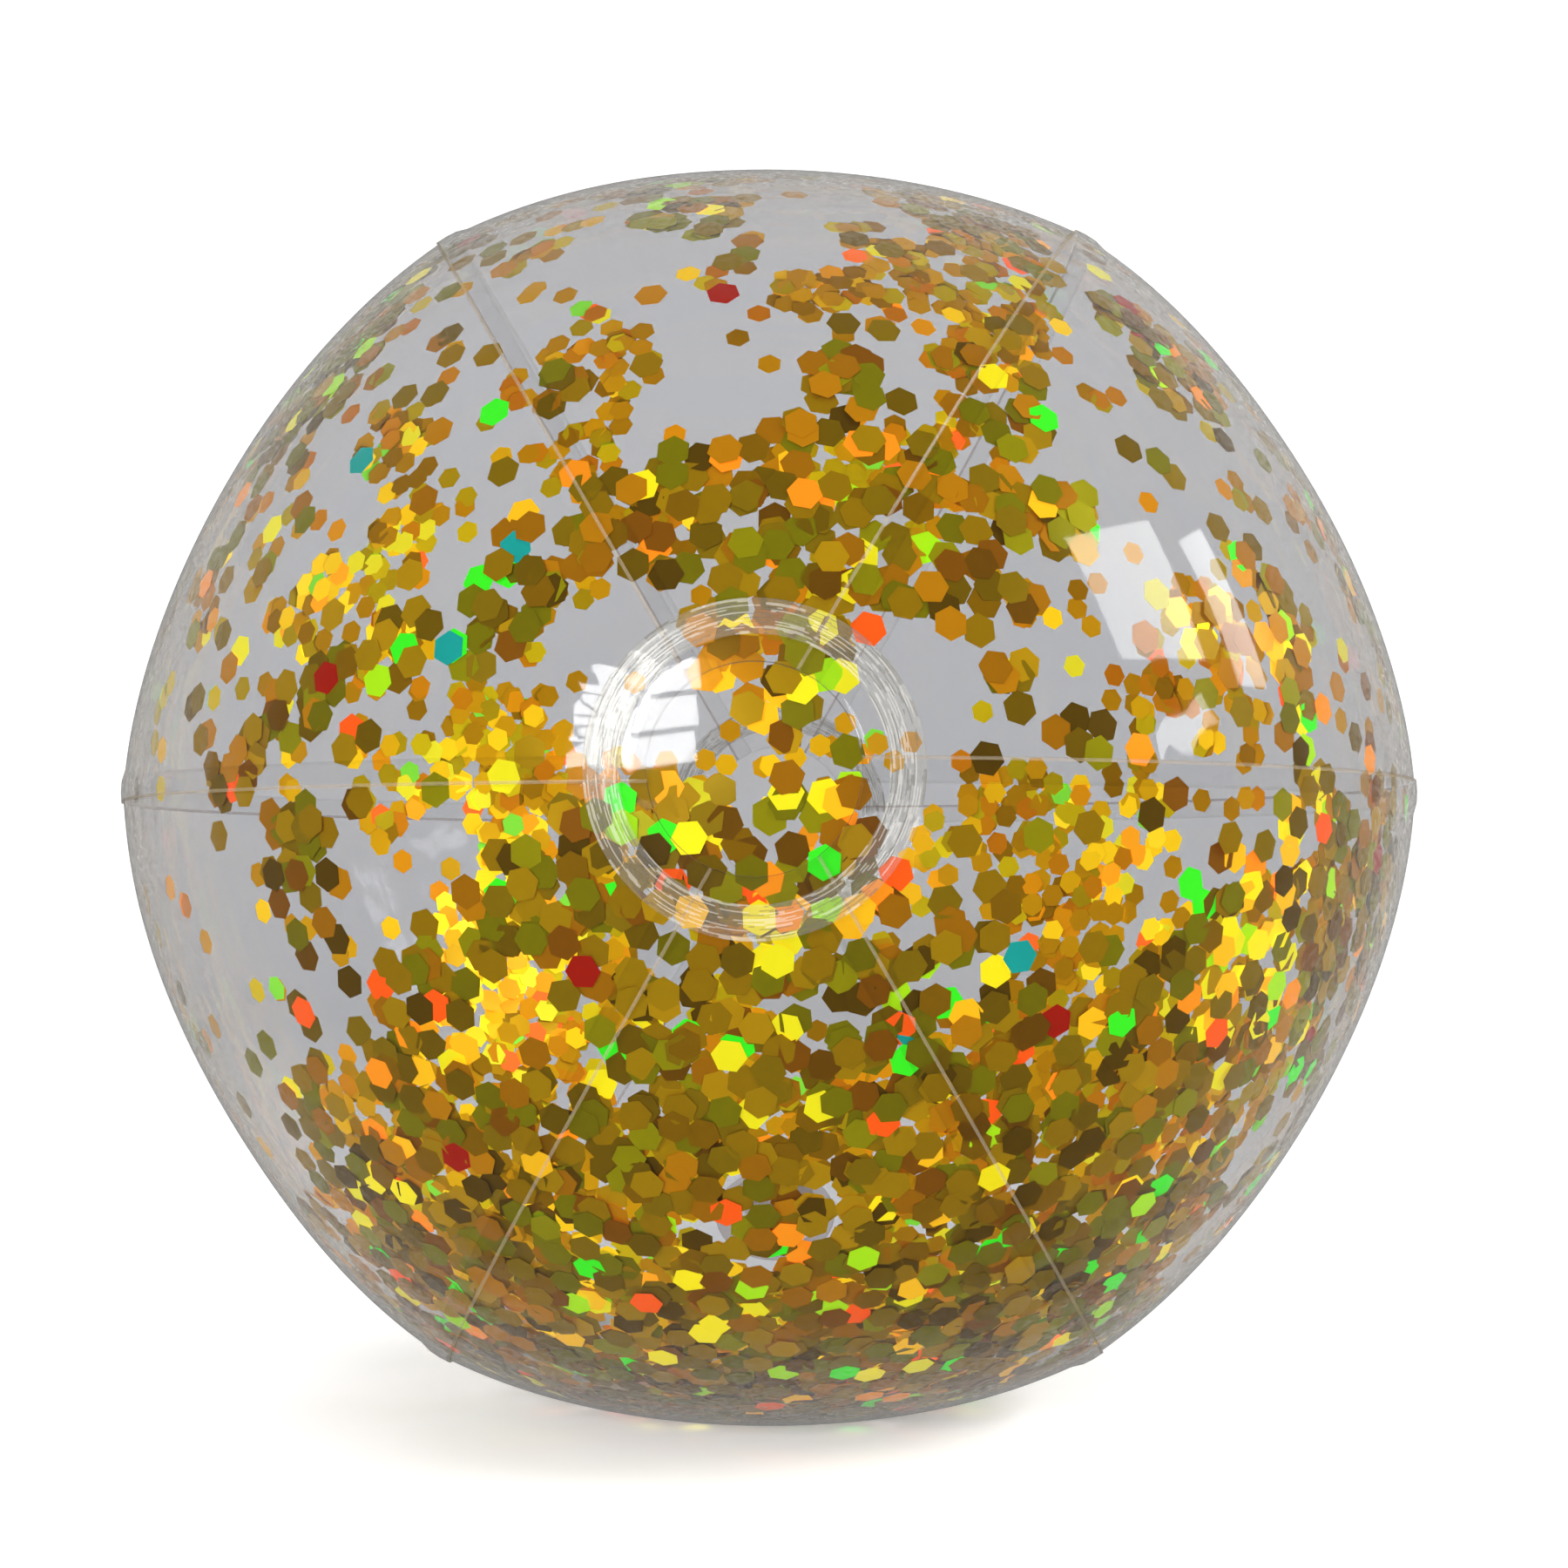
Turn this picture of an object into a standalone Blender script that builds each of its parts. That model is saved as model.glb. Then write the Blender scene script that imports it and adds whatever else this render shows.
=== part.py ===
"""Inflatable beach ball of clear film, with loose hexagonal glitter flakes inside.

Six film gores are lap welded along meridians, and a round end cap with a ridged weld ring closes
each pole. A push-in valve sits in one gore. Metres, +Z up. The pole axis lies along Y, the ball
rests on a small flat patch at z = 0, and the front end cap faces -Y.

Angles: polar is measured from the rear pole (+Y), azimuth about the pole axis from +X towards +Z.
"""

import math

import bmesh
import bpy
from mathutils import Matrix, Vector

# Film and outline
GORES = 6
SEAM_RADIUS = 0.175  # outside of the film on a seam, at the equator
POLE_RADIUS = 0.1645  # outside of the film at a pole
GORE_DIP = 0.0047  # the middle of a gore lies this much inside the seam radius
DIP_SHARPNESS = 1.3  # above 2 the seams would be round, at 1 they are creased
DIP_STARTS = math.radians(15)  # from the nearest pole; the film is round inside this angle
DIP_FULL = math.radians(60)
FILM = 0.0003  # film thickness
GAP = 0.0003  # clearance kept between welded or resting faces
FLATTENING = 0.003  # how far the weight of the ball presses the film flat where it rests

# Welds
LAP = 0.006  # overlap of two neighbouring gores
JOGGLE = 0.003  # width over which a gore steps up over its neighbour
GORE_HOLE = 0.023  # radius at which the gores end near a pole
RING_OUTER = 0.0366  # weld ring of an end cap
RING_INNER = 0.0288
RING_RIDGES = 4
RIDGE_HEIGHT = 0.00025

# Valve, along its own axis, with 0 at the outside of the film and + outwards
VALVE_POLAR = math.radians(50)
VALVE_GORE = 4  # counted from 0 upwards from the right-hand seam, so 4 is the bottom gore
VALVE_HOLE = 0.0128
VALVE_CUTTER = 0.02  # length of the cylinder that cuts the hole
FLANGE_RADIUS = 0.019
FLANGE_TOP = -0.0014  # clears the flat facets of the film
FLANGE_THICKNESS = 0.0008
DOME_RADIUS = 0.160
CUP_RADIUS = 0.0116
CUP_FLOOR = -0.0098
STEM_RADIUS = 0.0062
STEM_TOP = -0.0083
STEM_END = -0.025
COLLAR_RADIUS = 0.0104
COLLAR_THICKNESS = 0.0012
BEAD_RADIUS = 0.0074
BEAD_HEIGHT = 0.0012
NECK_CLEARANCE = 0.0004  # between the stem and the flange's neck
BORE_RADIUS = 0.0038
BORE_MOUTH = 0.0046
BORE_TAPER = 0.004
PLUG_RADIUS = 0.0075
PLUG_THICKNESS = 0.0012
PLUG_CROWN = 0.00138  # height of the plug's domed top over its underside
PLUG_RIM = 0.00072
PLUG_CROWN_RADIUS = 0.0056
STUB_TOP = 0.0043
STUB_END = 0.0034
STUB_LENGTH = 0.004
HINGE_REACH = 0.0096  # plug hinge, from the valve axis
TETHER_WIDTH = 0.004
TETHER_THICKNESS = 0.0006
FLAP_RADIUS = 0.006
FLAP_THICKNESS = 0.0004

# Loose glitter
HEAP_HALF_WIDTH = math.radians(29)  # along the pole axis
HEAP_HALF_ARC = math.radians(50)  # about the pole axis
HEAP_CLEARANCE = 0.0045  # from the middle of a gore to the underside of the heap
HEAP_THICKNESS = 0.0005
FLAKE_ACROSS = 0.0070  # across two flats of the hexagon
FLAKE_THICKNESS = 0.0002
FLAKE_DEPTH = 0.0016  # middle of a flake below the film, which leaves room for the flat facets
FLAKES = 30
FLAKE_SPREAD = 40  # points of the even spiral that the flakes are taken from

# Mesh density
GORE_ROWS = 26
GORE_MIDDLE_COLUMNS = 8
TURNED_STEPS = 30
VALVE_STEPS = 24

CENTRE = Vector((0.0, 0.0, SEAM_RADIUS - GORE_DIP - FLATTENING))
GORE_ANGLE = 2 * math.pi / GORES
LAP_LEVEL = FILM + GAP
CAP_LEVEL = 2 * LAP_LEVEL


def clear_scene():
    for old in list(bpy.data.objects):
        bpy.data.objects.remove(old, do_unlink=True)


def collection(name):
    made = bpy.data.collections.new(name)
    bpy.context.scene.collection.children.link(made)
    return made


def material(name, colour, roughness, metallic=0.0, alpha=1.0):
    made = bpy.data.materials.new(name)
    made.use_nodes = True
    shader = made.node_tree.nodes["Principled BSDF"]
    shader.inputs["Base Color"].default_value = (*colour, 1.0)
    shader.inputs["Roughness"].default_value = roughness
    shader.inputs["Metallic"].default_value = metallic
    shader.inputs["Alpha"].default_value = alpha
    return made


def smooth_step(low, high, value):
    share = min(max((value - low) / (high - low), 0.0), 1.0)
    return share * share * (3 - 2 * share)


def film_radius(polar, azimuth):
    """Radius of the film's inner face about the pole axis, before the sine of the polar angle."""
    from_pole = min(polar, math.pi - polar)
    dip = abs(math.sin(azimuth * GORES / 2)) ** DIP_SHARPNESS
    return SEAM_RADIUS - FILM - GORE_DIP * dip * smooth_step(DIP_STARTS, DIP_FULL, from_pole)


def film_normal(polar, azimuth):
    sine = math.sin(polar)
    slope = Vector((
        sine * math.cos(azimuth) / SEAM_RADIUS,
        math.cos(polar) / POLE_RADIUS,
        sine * math.sin(azimuth) / SEAM_RADIUS,
    ))
    return slope.normalized()


def film_point(polar, azimuth, level=0.0):
    """A point on the film's inner face, or level above it, pressed flat where the ball rests."""
    radius = film_radius(polar, azimuth) * math.sin(polar)
    point = Vector((
        radius * math.cos(azimuth),
        (POLE_RADIUS - FILM) * math.cos(polar),
        radius * math.sin(azimuth),
    ))
    point += CENTRE + film_normal(polar, azimuth) * level
    point.z = max(point.z, FILM - level)
    return point


def add_object(name, mesh, group, look, parent=None):
    made = bpy.data.objects.new(name, mesh)
    group.objects.link(made)
    mesh.materials.append(look)
    made.parent = parent
    return made


def add_empty(name, group, matrix, parent=None):
    made = bpy.data.objects.new(name, None)
    made.empty_display_size = 0.01
    group.objects.link(made)
    made.parent = parent
    made.matrix_local = matrix
    return made


def grid_mesh(name, columns, rows, place):
    """A grid whose point at column, row is put where place says."""
    shape = bmesh.new()
    bmesh.ops.create_grid(shape, x_segments=columns, y_segments=rows, size=1.0)
    for vertex in shape.verts:
        column = round((vertex.co.x + 1) / 2 * columns)
        row = round((vertex.co.y + 1) / 2 * rows)
        vertex.co = place(column, row)
    mesh = bpy.data.meshes.new(name)
    shape.to_mesh(mesh)
    shape.free()
    mesh.shade_smooth()
    return mesh


def thicken(target, thickness, offset):
    shell = target.modifiers.new("Thickness", "SOLIDIFY")
    shell.thickness = thickness
    shell.offset = offset
    shell.use_even_offset = True


def turned_object(name, profile, closed, steps, group, look, parent=None):
    """Turns a profile of (radius, height) points about the local Z axis."""
    mesh = bpy.data.meshes.new(name)
    edges = [(i, i + 1) for i in range(len(profile) - 1)]
    if closed:
        edges.append((len(profile) - 1, 0))
    mesh.from_pydata([(radius, 0.0, height) for radius, height in profile], edges, [])
    made = add_object(name, mesh, group, look, parent)
    screw = made.modifiers.new("Turned", "SCREW")
    screw.axis = "Z"
    screw.steps = steps
    screw.render_steps = steps
    screw.use_merge_vertices = True
    screw.merge_threshold = 0.00001
    screw.use_smooth_shade = False
    return made


def make_gore(number, group, look):
    """One gore: flat on its first edge, stepped up over the next gore on its last edge."""
    first_seam = number * GORE_ANGLE
    last_seam = first_seam + GORE_ANGLE
    start = math.asin(GORE_HOLE / (SEAM_RADIUS - FILM))
    columns = GORE_MIDDLE_COLUMNS + 6

    def place(column, row):
        polar = start + (math.pi - 2 * start) * row / GORE_ROWS
        reach = film_radius(polar, first_seam) * math.sin(polar)
        half_lap = LAP / 2 / reach
        step = JOGGLE / reach
        low = first_seam + half_lap + step
        high = last_seam - half_lap - step
        level = 0.0
        if column < 3:
            azimuth = first_seam + (column - 1) * half_lap
        elif column <= 3 + GORE_MIDDLE_COLUMNS:
            azimuth = low + (high - low) * (column - 3) / GORE_MIDDLE_COLUMNS
        else:
            azimuth = last_seam + (column - columns + 1) * half_lap
            level = LAP_LEVEL
        return film_point(polar, azimuth, level)

    mesh = grid_mesh(f"gore_{number + 1}", columns, GORE_ROWS, place)
    made = add_object(f"gore_{number + 1}", mesh, group, look)
    return made


def cap_profile():
    """Outer side from the axis to the rim, then the inner side back to the axis."""
    base = SEAM_RADIUS - FILM

    def point(radius, level):
        polar = math.asin(radius / base)
        place = film_point(polar, math.pi / 2, level) - CENTRE
        return (place.z if radius else 0.0, place.y)

    dome_steps = 4
    ridge_points = 2 * RING_RIDGES
    outer_level = CAP_LEVEL + FILM
    outer = [point(RING_INNER * i / dome_steps, outer_level) for i in range(dome_steps + 1)]
    for i in range(1, ridge_points + 1):
        radius = RING_INNER + (RING_OUTER - RING_INNER) * i / ridge_points
        outer.append(point(radius, outer_level + RIDGE_HEIGHT * (i % 2)))
    inner = [point(RING_OUTER * i / dome_steps, CAP_LEVEL) for i in range(dome_steps, -1, -1)]
    return outer + inner


def make_end_caps(group, look):
    profile = cap_profile()
    for name, turn in (("rear_end_cap", -math.pi / 2), ("front_end_cap", math.pi / 2)):
        cap = turned_object(name, profile, False, TURNED_STEPS, group, look)
        cap.matrix_world = Matrix.Translation(CENTRE) @ Matrix.Rotation(turn, 4, "X")


def valve_matrix():
    azimuth = (VALVE_GORE + 0.5) * GORE_ANGLE
    outwards = film_normal(VALVE_POLAR, azimuth)
    place = film_point(VALVE_POLAR, azimuth, FILM)
    turn = outwards.to_track_quat("Z", "Y").to_matrix().to_4x4()
    return Matrix.Translation(place) @ turn


def dome(radius):
    return -radius * radius / (2 * DOME_RADIUS)


def make_flange(group, look, frame):
    top = FLANGE_TOP
    wall = FLANGE_THICKNESS
    neck = STEM_RADIUS + NECK_CLEARANCE
    corner = CUP_RADIUS + wall
    profile = [
        (FLANGE_RADIUS, top + dome(FLANGE_RADIUS)),
        (FLANGE_RADIUS, top - wall + dome(FLANGE_RADIUS)),
        (corner, top - wall + dome(corner)),
        (corner, CUP_FLOOR - wall),
        (neck, CUP_FLOOR - wall),
        (neck, CUP_FLOOR),
        (CUP_RADIUS, CUP_FLOOR),
        (CUP_RADIUS, top + dome(CUP_RADIUS)),
    ]
    turned_object("valve_flange", profile, True, VALVE_STEPS, group, look, frame)


def make_stem(group, look, frame):
    under_collar = STEM_TOP - COLLAR_THICKNESS
    bead_top = STEM_END + BEAD_HEIGHT
    profile = [
        (COLLAR_RADIUS, STEM_TOP),
        (COLLAR_RADIUS, under_collar),
        (STEM_RADIUS, under_collar),
        (STEM_RADIUS, bead_top),
        (BEAD_RADIUS, bead_top),
        (BEAD_RADIUS, STEM_END),
        (BORE_RADIUS, STEM_END),
        (BORE_RADIUS, STEM_TOP - BORE_TAPER),
        (BORE_MOUTH, STEM_TOP),
    ]
    turned_object("valve_stem", profile, True, VALVE_STEPS, group, look, frame)


def make_plug(group, look, frame):
    """The plug and its short strap, both on the hinge at the collar's edge."""
    underside = STEM_TOP + GAP
    hinge = add_empty("plug_hinge", group, Matrix.Translation((-HINGE_REACH, 0, underside)), frame)
    profile = [
        (0.0, PLUG_CROWN),
        (PLUG_CROWN_RADIUS, PLUG_THICKNESS),
        (PLUG_RADIUS, PLUG_RIM),
        (PLUG_RADIUS, 0.0),
        (STUB_TOP, 0.0),
        (STUB_END, -STUB_LENGTH),
        (0.0, -STUB_LENGTH),
    ]
    plug = turned_object("valve_plug", profile, False, VALVE_STEPS, group, look, hinge)
    plug.location = (HINGE_REACH, 0, 0)

    inner_end = HINGE_REACH - PLUG_RADIUS - GAP
    mesh = bpy.data.meshes.new("plug_tether")
    strap = bmesh.new()
    bmesh.ops.create_cube(strap, size=1.0)
    bmesh.ops.scale(strap, vec=(inner_end, TETHER_WIDTH, TETHER_THICKNESS), verts=strap.verts)
    bmesh.ops.translate(strap, vec=(inner_end / 2, 0, TETHER_THICKNESS / 2), verts=strap.verts)
    strap.to_mesh(mesh)
    strap.free()
    add_object("plug_tether", mesh, group, look, hinge)


def make_flap(group, look, frame):
    top = STEM_END - GAP
    place = Matrix.Translation((-FLAP_RADIUS, 0, top - FLAP_THICKNESS / 2))
    hinge = add_empty("flap_hinge", group, place, frame)
    mesh = bpy.data.meshes.new("check_flap")
    disc = bmesh.new()
    bmesh.ops.create_cone(
        disc, cap_ends=True, segments=VALVE_STEPS,
        radius1=FLAP_RADIUS, radius2=FLAP_RADIUS, depth=FLAP_THICKNESS,
    )
    disc.to_mesh(mesh)
    disc.free()
    flap = add_object("check_flap", mesh, group, look, hinge)
    flap.location = (FLAP_RADIUS, 0, 0)


def cut_valve_hole(gore, cutters, frame):
    bpy.ops.mesh.primitive_cylinder_add(
        vertices=VALVE_STEPS, radius=VALVE_HOLE, depth=VALVE_CUTTER,
    )
    cutter = bpy.context.object
    cutter.name = "valve_hole_cutter"
    for group in list(cutter.users_collection):
        group.objects.unlink(cutter)
    cutters.objects.link(cutter)
    cutter.matrix_world = frame
    cutter.hide_render = True
    cutter.display_type = "WIRE"
    cut = gore.modifiers.new("Valve hole", "BOOLEAN")
    cut.operation = "DIFFERENCE"
    cut.object = cutter


def make_heap(group, look):
    """The settled glitter: a thin dish that follows the ball's inside and turns about the pole axis."""
    columns, rows = 12, 8
    centre = add_empty("ball_centre", group, Matrix.Translation(CENTRE))
    middle_gore = -math.pi / 2

    def place(column, row):
        polar = math.pi / 2 + HEAP_HALF_WIDTH * (2 * row / rows - 1)
        azimuth = middle_gore + HEAP_HALF_ARC * (2 * column / columns - 1)
        radius = film_radius(polar, middle_gore) * math.sin(polar) - HEAP_CLEARANCE * math.sin(polar)
        along = (POLE_RADIUS - FILM - HEAP_CLEARANCE) * math.cos(polar)
        return Vector((radius * math.cos(azimuth), along, radius * math.sin(azimuth)))

    mesh = grid_mesh("glitter_heap", columns, rows, place)
    heap = add_object("glitter_heap", mesh, group, look, centre)
    thicken(heap, HEAP_THICKNESS, -1.0)


def flake_places():
    """Evenly spread places on the film, away from the end caps, the seams and the valve."""
    golden = math.pi * (3 - math.sqrt(5))
    valve = film_point(VALVE_POLAR, (VALVE_GORE + 0.5) * GORE_ANGLE)
    found = []
    for i in range(FLAKE_SPREAD):
        polar = math.acos(1 - 2 * (i + 0.5) / FLAKE_SPREAD)
        azimuth = i * golden
        radius = SEAM_RADIUS * math.sin(polar)
        off_seam = abs(math.sin(azimuth * GORES / 2)) / (GORES / 2) * radius
        off_valve = (film_point(polar, azimuth) - valve).length
        if radius > RING_OUTER + FLAKE_ACROSS and off_seam > 2 * LAP and off_valve > 2 * FLANGE_RADIUS:
            found.append((polar, azimuth))
    return found[:FLAKES]


def make_flakes(group, looks):
    mesh = bpy.data.meshes.new("glitter_flake")
    shape = bmesh.new()
    corner = FLAKE_ACROSS / math.sqrt(3)
    bmesh.ops.create_cone(
        shape, cap_ends=True, segments=6, radius1=corner, radius2=corner, depth=FLAKE_THICKNESS,
    )
    shape.to_mesh(mesh)
    shape.free()
    for i, (polar, azimuth) in enumerate(flake_places()):
        turn = film_normal(polar, azimuth).to_track_quat("Z", "Y").to_matrix().to_4x4()
        flake = add_object(f"glitter_flake_{i + 1:02d}", mesh.copy(), group, looks[i % len(looks)])
        flake.matrix_world = Matrix.Translation(film_point(polar, azimuth, -FLAKE_DEPTH)) @ turn


def build():
    clear_scene()
    parts = collection("beach_ball")
    cutters = collection("cutters")
    film = material("clear_film", (0.80, 0.81, 0.86), 0.08, alpha=0.25)
    cap_film = material("end_cap_film", (0.86, 0.86, 0.88), 0.12, alpha=0.4)
    valve_vinyl = material("valve_vinyl", (0.88, 0.89, 0.90), 0.25, alpha=0.6)
    heap_look = material("glitter_heap", (0.45, 0.30, 0.04), 0.3, metallic=0.8)
    flake_looks = [
        material("flake_gold", (0.80, 0.52, 0.06), 0.2, metallic=1.0),
        material("flake_amber", (0.72, 0.28, 0.03), 0.2, metallic=1.0),
        material("flake_lime", (0.45, 0.72, 0.05), 0.2, metallic=1.0),
        material("flake_olive", (0.22, 0.15, 0.02), 0.25, metallic=1.0),
    ]

    gores = [make_gore(number, parts, film) for number in range(GORES)]
    for gore in gores:
        thicken(gore, FILM, 1.0)
    make_end_caps(parts, cap_film)

    place = valve_matrix()
    cut_valve_hole(gores[VALVE_GORE], cutters, place)
    frame = add_empty("valve_frame", parts, place)
    make_flange(parts, valve_vinyl, frame)
    make_stem(parts, valve_vinyl, frame)
    make_plug(parts, valve_vinyl, frame)
    make_flap(parts, valve_vinyl, frame)

    make_heap(parts, heap_look)
    make_flakes(parts, flake_looks)
    bpy.context.view_layer.update()


build()
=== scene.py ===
"""Looks for the inflatable beach ball: clear welded film, a push-in valve and loose hexagonal glitter.

Metres, in the CAD model's frame: +Z up, the pole axis along Y, the front end cap facing -Y. Angles on
the film: polar is measured from the rear pole (+Y), azimuth about the pole axis from +X towards +Z.
"""

import math
import random

import bmesh
import bpy
from mathutils import Matrix, Vector, noise


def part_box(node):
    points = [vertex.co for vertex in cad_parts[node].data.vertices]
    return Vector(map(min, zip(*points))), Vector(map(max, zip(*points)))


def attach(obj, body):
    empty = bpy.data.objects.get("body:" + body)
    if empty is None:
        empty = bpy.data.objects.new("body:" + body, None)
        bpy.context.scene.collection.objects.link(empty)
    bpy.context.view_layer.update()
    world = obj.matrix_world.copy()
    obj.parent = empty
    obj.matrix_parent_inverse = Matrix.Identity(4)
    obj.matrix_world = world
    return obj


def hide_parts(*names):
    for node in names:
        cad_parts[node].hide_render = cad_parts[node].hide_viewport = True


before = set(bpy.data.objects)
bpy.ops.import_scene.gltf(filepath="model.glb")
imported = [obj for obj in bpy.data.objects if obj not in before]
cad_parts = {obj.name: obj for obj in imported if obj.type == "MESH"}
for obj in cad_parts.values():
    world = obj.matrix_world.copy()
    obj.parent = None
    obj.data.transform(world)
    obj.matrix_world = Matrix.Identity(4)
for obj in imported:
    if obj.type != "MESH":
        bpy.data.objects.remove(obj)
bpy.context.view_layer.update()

# The film's outline, as the CAD model has it
GORES = 6
GORE_ANGLE = 2 * math.pi / GORES
SEAM_RADIUS = 0.175
POLE_RADIUS = 0.1645
GORE_DIP = 0.0047
DIP_SHARPNESS = 1.3
DIP_STARTS = math.radians(15)
DIP_FULL = math.radians(60)
FILM = 0.0003
GAP = 0.0003
FLATTENING = 0.003
LAP = 0.006
JOGGLE = 0.003
GORE_HOLE = 0.023
RING_OUTER = 0.0366
RING_INNER = 0.0288

# The valve, as the CAD model has it: heights are along its own axis, outwards from the film
VALVE_POLAR = math.radians(50)
VALVE_AZIMUTH = math.radians(270)
VALVE_GORE = 4
VALVE_HOLE = 0.0128
FLANGE_RADIUS = 0.019
FLANGE_TOP = -0.0014
FLANGE_THICKNESS = 0.0008
DOME_RADIUS = 0.160
CUP_RADIUS = 0.0116
CUP_FLOOR = -0.0098
STEM_RADIUS = 0.0062
STEM_TOP = -0.0083
STEM_END = -0.025
COLLAR_RADIUS = 0.0104
COLLAR_THICKNESS = 0.0012
BEAD_RADIUS = 0.0074
BEAD_HEIGHT = 0.0012
NECK_CLEARANCE = 0.0004
BORE_RADIUS = 0.0038
BORE_MOUTH = 0.0046
BORE_TAPER = 0.004
PLUG_RADIUS = 0.0075
PLUG_THICKNESS = 0.0012
PLUG_CROWN = 0.00138
STUB_TOP = 0.0043
STUB_END = 0.0034
STUB_LENGTH = 0.004
HINGE_REACH = 0.0096
TETHER_WIDTH = 0.004
TETHER_THICKNESS = 0.0006
FLAP_RADIUS = 0.006
FLAP_THICKNESS = 0.0004
VALVE_STEPS = 72

LAP_LEVEL = FILM + GAP
CAP_LEVEL = 2 * LAP_LEVEL
CENTRE = Vector((0.0, 0.0, SEAM_RADIUS - GORE_DIP - FLATTENING))
BALL = SEAM_RADIUS

# Film mesh and its small waves
GORE_ROWS = 150
GORE_MIDDLE_COLUMNS = 40
CAP_STEPS = 180
RING_BANDS = 26
SEAM_LINE = 0.0008  # width of the darker line along the cut edge of a weld
WELD_LOOK, LINE_LOOK, FAINT_LINE_LOOK = 3, 5, 7  # places in a gore's list of looks
RING_LOOKS = (3, 4, 5)  # places in an end cap's list: milky, dark and bright
BRIGHT_STREAK, DARK_STREAK = 0.22, -0.26  # noise above and below which the ring is bright or dark
PUCKER_HEIGHT = 0.00035  # little waves that the weld draws into the film
PUCKER_LENGTH = 0.013
PUCKER_REACH = 0.010
RING_PUCKERS = 31  # waves around the weld ring
RING_PUCKER_SHARE = 0.15  # their height, as a share of PUCKER_HEIGHT
CALM_FLOOR = (0.004, 0.02)  # heights over the floor between which the waves grow from nothing
SWELL_HEIGHT = 0.0007  # broad, soft waves of the whole film
SWELL_SCALE = 14.0

# Glitter
FLAKE_ACROSS = 0.0070
FLAKE_CORNER = FLAKE_ACROSS / math.sqrt(3)
FLAKE_THICKNESS = 0.00006
FLAKE_CURL = 0.00012
FIRST_DEPTH = 0.0012  # of the flakes that lie against the film
LAYER = 0.00013  # from one flake to the next that lies on it
MOST_LAYERS = 9
TOUCH = FLAKE_CORNER * 1.9  # two flakes that are nearer than this lie on each other
LEAST_TILT, TILT_PER_LAYER = 0.6, 1.1  # degrees
CLING_TRIES = 17000
HEAP_FLAKES = 1500
HEAP_TOP_DEPTH = 0.0052
HEAP_DEPTH = 0.0075
HEAP_HALF_ARC = math.radians(48)  # about the pole axis
HEAP_HALF_WIDTH = math.radians(27)  # along it
HEAP_SPREAD = 0.45  # most of the heap's flakes lie in this share of the arc
HEAP_LEAST_TILT, HEAP_MORE_TILT = 4, 22  # degrees, at the top and added at the bottom of the heap

FILM_REFLECTION = 0.022  # face on; it rises to 1 at a slant, the same from inside and outside
FILM_TINT = (0.629, 0.632, 0.645)
RIM_POWER = 5.0  # how narrow the milky and mirror-like band along the outline is
GRAIN_SCALE = 700.0  # of the fine specks in the haze

# Camera
CAMERA_DISTANCE = 4 * BALL
CAMERA_RIGHT = math.radians(1.1)  # off the pole axis
CAMERA_DOWN = math.radians(2.1)
FOCAL_LENGTH = 57.7
SENSOR = 36.0
AIM_RIGHT = 0.0042  # the ball sits a little left of and below the middle of the frame
AIM_UP = 0.0036


# ---------------------------------------------------------------- film surface

def smooth_step(low, high, value):
    share = min(max((value - low) / (high - low), 0.0), 1.0)
    return share * share * (3 - 2 * share)


def film_radius(polar, azimuth):
    from_pole = min(polar, math.pi - polar)
    dip = abs(math.sin(azimuth * GORES / 2)) ** DIP_SHARPNESS
    return SEAM_RADIUS - FILM - GORE_DIP * dip * smooth_step(DIP_STARTS, DIP_FULL, from_pole)


def film_normal(polar, azimuth):
    sine = math.sin(polar)
    return Vector((
        sine * math.cos(azimuth) / SEAM_RADIUS,
        math.cos(polar) / POLE_RADIUS,
        sine * math.sin(azimuth) / SEAM_RADIUS,
    )).normalized()


def film_point(polar, azimuth, level=0.0):
    """A point on the film's inner face, or level above it, pressed flat where the ball rests."""
    radius = film_radius(polar, azimuth) * math.sin(polar)
    point = Vector((
        radius * math.cos(azimuth),
        (POLE_RADIUS - FILM) * math.cos(polar),
        radius * math.sin(azimuth),
    ))
    point += CENTRE + film_normal(polar, azimuth) * level
    point.z = max(point.z, FILM - level)
    return point


VALVE_PLACE = film_point(VALVE_POLAR, VALVE_AZIMUTH, FILM)
VALVE_AXIS = film_normal(VALVE_POLAR, VALVE_AZIMUTH)


def film_wave(polar, azimuth):
    """Height of the film's small waves: puckers at the seams and the ring, and broad swells."""
    radius = SEAM_RADIUS * math.sin(polar)
    along = SEAM_RADIUS * polar
    nearest = round(azimuth / GORE_ANGLE)
    off_seam = abs(azimuth - nearest * GORE_ANGLE) * radius
    seed = Vector((nearest % GORES * 3.7, along * 30, 0.5))
    phase = 2 * math.pi * along / PUCKER_LENGTH + 2.2 * noise.noise(seed)
    strength = 0.6 + 0.8 * noise.noise(seed * 1.7)
    pucker = strength * math.sin(phase) * math.exp(-off_seam / PUCKER_REACH)
    off_ring = abs(radius - RING_OUTER)
    uneven = noise.noise(Vector((math.cos(azimuth), math.sin(azimuth), 3)) * 2)
    wave = math.sin(azimuth * RING_PUCKERS + 2 * uneven)
    pucker += RING_PUCKER_SHARE * wave * math.exp(-off_ring / PUCKER_REACH)
    swell = noise.noise(film_normal(polar, azimuth) * BALL * SWELL_SCALE)
    fade = smooth_step(0.0, RING_OUTER, radius - RING_INNER * 0.4)
    point = film_point(polar, azimuth)
    floor = smooth_step(*CALM_FLOOR, point.z)
    valve = smooth_step(FLANGE_RADIUS, 2 * FLANGE_RADIUS, (point - VALVE_PLACE).length)
    return (PUCKER_HEIGHT * pucker + SWELL_HEIGHT * swell) * fade * floor * valve


# ---------------------------------------------------------------- materials

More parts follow.
